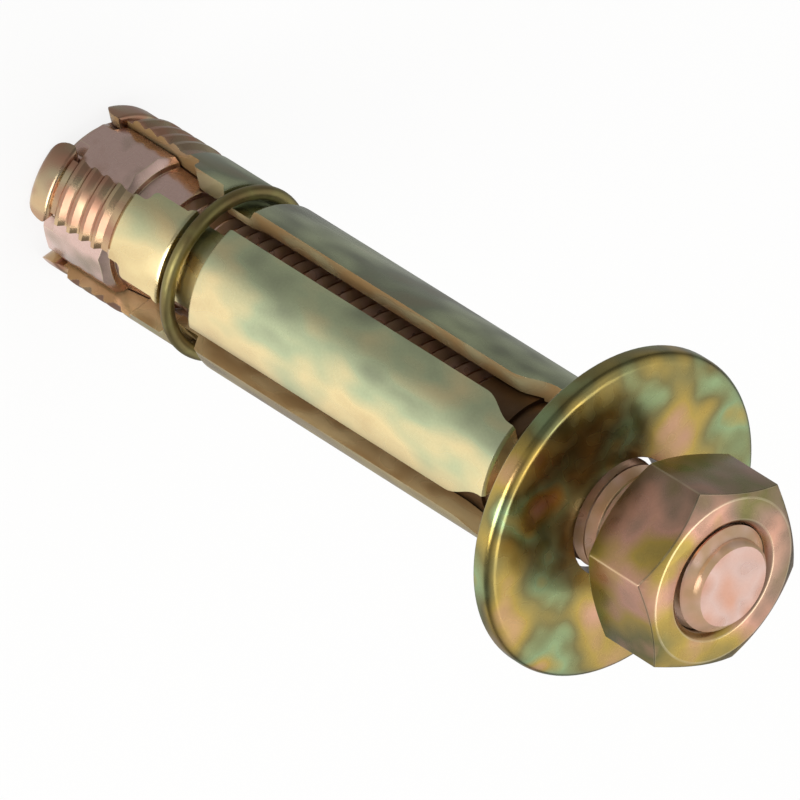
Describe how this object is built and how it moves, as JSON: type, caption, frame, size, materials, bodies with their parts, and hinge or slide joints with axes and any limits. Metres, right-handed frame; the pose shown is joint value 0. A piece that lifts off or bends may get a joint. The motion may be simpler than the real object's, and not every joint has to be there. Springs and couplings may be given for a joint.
{
  "type": "masonry shield anchor",
  "caption": "Expanding masonry anchor: slotted steel shield with ridged fingers, tapered expander nut, threaded stud, loose washer and hex nut.",
  "frame": {"origin": "centre of the ring of finger tips that the anchor stands on", "axes": "+Z along the stud towards the nut, +X through the middle of the first shield segment"},
  "size_m": [0.03, 0.03, 0.0825],
  "materials": {
    "shield_zinc": "yellow passivated zinc",
    "ring_zinc": "yellow passivated zinc",
    "expander_zinc": "yellow passivated zinc",
    "stud_zinc": "yellow passivated zinc",
    "washer_zinc": "yellow passivated zinc",
    "nut_zinc": "yellow passivated zinc"
  },
  "bodies": {
    "shield_core": {"ferrule": "ring_zinc", "retaining_ring": "ring_zinc"},
    "segment_a": {"segment_1": "shield_zinc"},
    "segment_b": {"segment_2": "shield_zinc"},
    "segment_c": {"segment_3": "shield_zinc"},
    "segment_d": {"segment_4": "shield_zinc"},
    "stud_group": {"stud": "stud_zinc", "expander_nut": "expander_zinc"},
    "washer_group": {"washer": "washer_zinc"},
    "nut_group": {"hex_nut": "nut_zinc"}
  },
  "joints": [
    {"name": "stud_draw", "type": "slide", "parent": "shield_core", "child": "stud_group", "axis": [0, 0, 1], "range_m": [0, 0.003]},
    {"name": "segment_a_open", "type": "hinge", "parent": "shield_core", "child": "segment_a", "pos_m": [0.00592, 0, 0.058], "axis": [0, -1, 0], "range_deg": [0, 0.43]},
    {"name": "segment_b_open", "type": "hinge", "parent": "shield_core", "child": "segment_b", "pos_m": [0, 0.00592, 0.058], "axis": [1, 0, 0], "range_deg": [0, 0.43]},
    {"name": "segment_c_open", "type": "hinge", "parent": "shield_core", "child": "segment_c", "pos_m": [-0.00592, 0, 0.058], "axis": [0, 1, 0], "range_deg": [0, 0.43]},
    {"name": "segment_d_open", "type": "hinge", "parent": "shield_core", "child": "segment_d", "pos_m": [0, -0.00592, 0.058], "axis": [-1, 0, 0], "range_deg": [0, 0.43]},
    {"name": "washer_slide", "type": "slide", "parent": "stud_group", "child": "washer_group", "axis": [0, 0, 1], "range_m": [-0.0064, 0.0045]},
    {"name": "nut_turn", "type": "hinge", "parent": "stud_group", "child": "nut_group", "pos_m": [0, 0, 0.0773], "axis": [0, 0, 1], "continuous": true}
  ],
  "couplings": [
    {"joint": "segment_a_open", "follows": "stud_draw", "rad_per_m": 2.5},
    {"joint": "segment_b_open", "follows": "stud_draw", "rad_per_m": 2.5},
    {"joint": "segment_c_open", "follows": "stud_draw", "rad_per_m": 2.5},
    {"joint": "segment_d_open", "follows": "stud_draw", "rad_per_m": 2.5}
  ]
}
